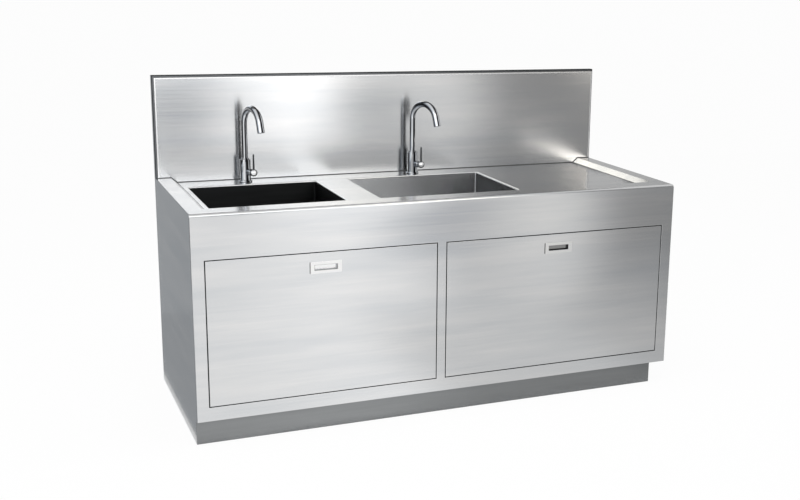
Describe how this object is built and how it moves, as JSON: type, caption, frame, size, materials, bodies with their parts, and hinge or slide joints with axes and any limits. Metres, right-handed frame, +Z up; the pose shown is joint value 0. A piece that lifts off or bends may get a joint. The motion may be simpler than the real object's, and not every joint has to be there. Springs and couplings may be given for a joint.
{
  "type": "hand wash sink unit",
  "caption": "Stainless steel wash sink cabinet with sunk worktop, bowls, drainboard, tall splashback, gooseneck lever taps and flap doors with flush pulls.",
  "frame": {"origin": "on the floor, under the middle of the overall box", "axes": "+X to the right along the front, +Y towards the wall, +Z up"},
  "size_m": [1.8, 0.7, 1.155],
  "materials": {
    "steel": "horizontal brushed grain, satin",
    "bowl_dark": "dark coated, satin",
    "bowl_steel": "brushed, satin",
    "frame_tube": "mill finish",
    "chrome": "polished",
    "pull_steel": "fine satin",
    "hinge_steel": "plain",
    "board": "sealed plywood",
    "plastic_white": "matt",
    "plastic_dark": "matt",
    "rubber": "matt"
  },
  "bodies": {
    "cabinet": {"worktop": "steel", "deck_board": "board", "splashback": "steel", "splashback_back": "steel", "splashback_ribs": "frame_tube", "face_frame": "steel", "left_side_panel": "steel", "right_side_panel": "steel", "back_panel": "steel", "frame_posts": "frame_tube", "frame_rails": "frame_tube", "bottom_shelf": "steel", "plinth": "steel", "levelling_feet": "hinge_steel", "door_catches": "plastic_dark", "waste_gaskets": "rubber", "mixer_washers": "rubber", "mixer_nuts": "hinge_steel", "left_bowl": "bowl_dark", "left_waste": "chrome", "left_waste_nut": "plastic_white", "left_tailpiece": "plastic_white", "left_trap": "plastic_white", "left_trap_cup": "plastic_white", "left_waste_pipe": "plastic_white", "left_hinge_brackets": "hinge_steel", "left_hinge_pins": "hinge_steel", "left_mixer_body": "chrome", "left_mixer_shank": "hinge_steel", "right_bowl": "bowl_steel", "right_waste": "chrome", "right_waste_nut": "plastic_white", "right_tailpiece": "plastic_white", "right_trap": "plastic_white", "right_trap_cup": "plastic_white", "right_waste_pipe": "plastic_white", "right_hinge_brackets": "hinge_steel", "right_hinge_pins": "hinge_steel", "right_mixer_body": "chrome", "right_mixer_shank": "hinge_steel"},
    "left_door": {"left_door_skin": "steel", "left_door_liner": "steel", "left_pull": "pull_steel", "left_strike": "hinge_steel", "left_hinge_leaves": "hinge_steel"},
    "left_spout": {"left_spout": "chrome", "left_aerator": "plastic_dark"},
    "left_valve": {"left_cartridge": "hinge_steel"},
    "left_lever": {"left_lever": "chrome"},
    "left_strainer": {"left_basket": "chrome"},
    "right_door": {"right_door_skin": "steel", "right_door_liner": "steel", "right_pull": "pull_steel", "right_strike": "hinge_steel", "right_hinge_leaves": "hinge_steel"},
    "right_spout": {"right_spout": "chrome", "right_aerator": "plastic_dark"},
    "right_valve": {"right_cartridge": "hinge_steel"},
    "right_lever": {"right_lever": "chrome"},
    "right_strainer": {"right_basket": "chrome"}
  },
  "joints": [
    {"name": "left_door_hinge", "type": "hinge", "parent": "cabinet", "child": "left_door", "pos_m": [-0.4565, -0.343, 0.135], "axis": [1, 0, 0], "range_deg": [0, 90]},
    {"name": "left_spout_swivel", "type": "hinge", "parent": "cabinet", "child": "left_spout", "pos_m": [-0.583, 0.275, 0.83], "axis": [0, 0, 1], "range_deg": [-105, 75]},
    {"name": "left_temperature", "type": "hinge", "parent": "cabinet", "child": "left_valve", "pos_m": [-0.5724, 0.25804, 0.8], "axis": [0.5299, -0.848, 0], "range_deg": [-45, 45]},
    {"name": "left_flow", "type": "hinge", "parent": "left_valve", "child": "left_lever", "pos_m": [-0.55968, 0.23769, 0.8], "axis": [0.848, 0.5299, 0], "range_deg": [0, 24]},
    {"name": "left_basket_lift", "type": "slide", "parent": "cabinet", "child": "left_strainer", "axis": [0, 0, 1], "range_m": [0, 0.3]},
    {"name": "right_door_hinge", "type": "hinge", "parent": "cabinet", "child": "right_door", "pos_m": [0.4165, -0.343, 0.135], "axis": [1, 0, 0], "range_deg": [0, 90]},
    {"name": "right_spout_swivel", "type": "hinge", "parent": "cabinet", "child": "right_spout", "pos_m": [0.077, 0.275, 0.83], "axis": [0, 0, 1], "range_deg": [-117, 63]},
    {"name": "right_temperature", "type": "hinge", "parent": "cabinet", "child": "right_valve", "pos_m": [0.0876, 0.25804, 0.8], "axis": [0.5299, -0.848, 0], "range_deg": [-45, 45]},
    {"name": "right_flow", "type": "hinge", "parent": "right_valve", "child": "right_lever", "pos_m": [0.10032, 0.23769, 0.8], "axis": [0.848, 0.5299, 0], "range_deg": [0, 24]},
    {"name": "right_basket_lift", "type": "slide", "parent": "cabinet", "child": "right_strainer", "axis": [0, 0, 1], "range_m": [0, 0.3]}
  ]
}
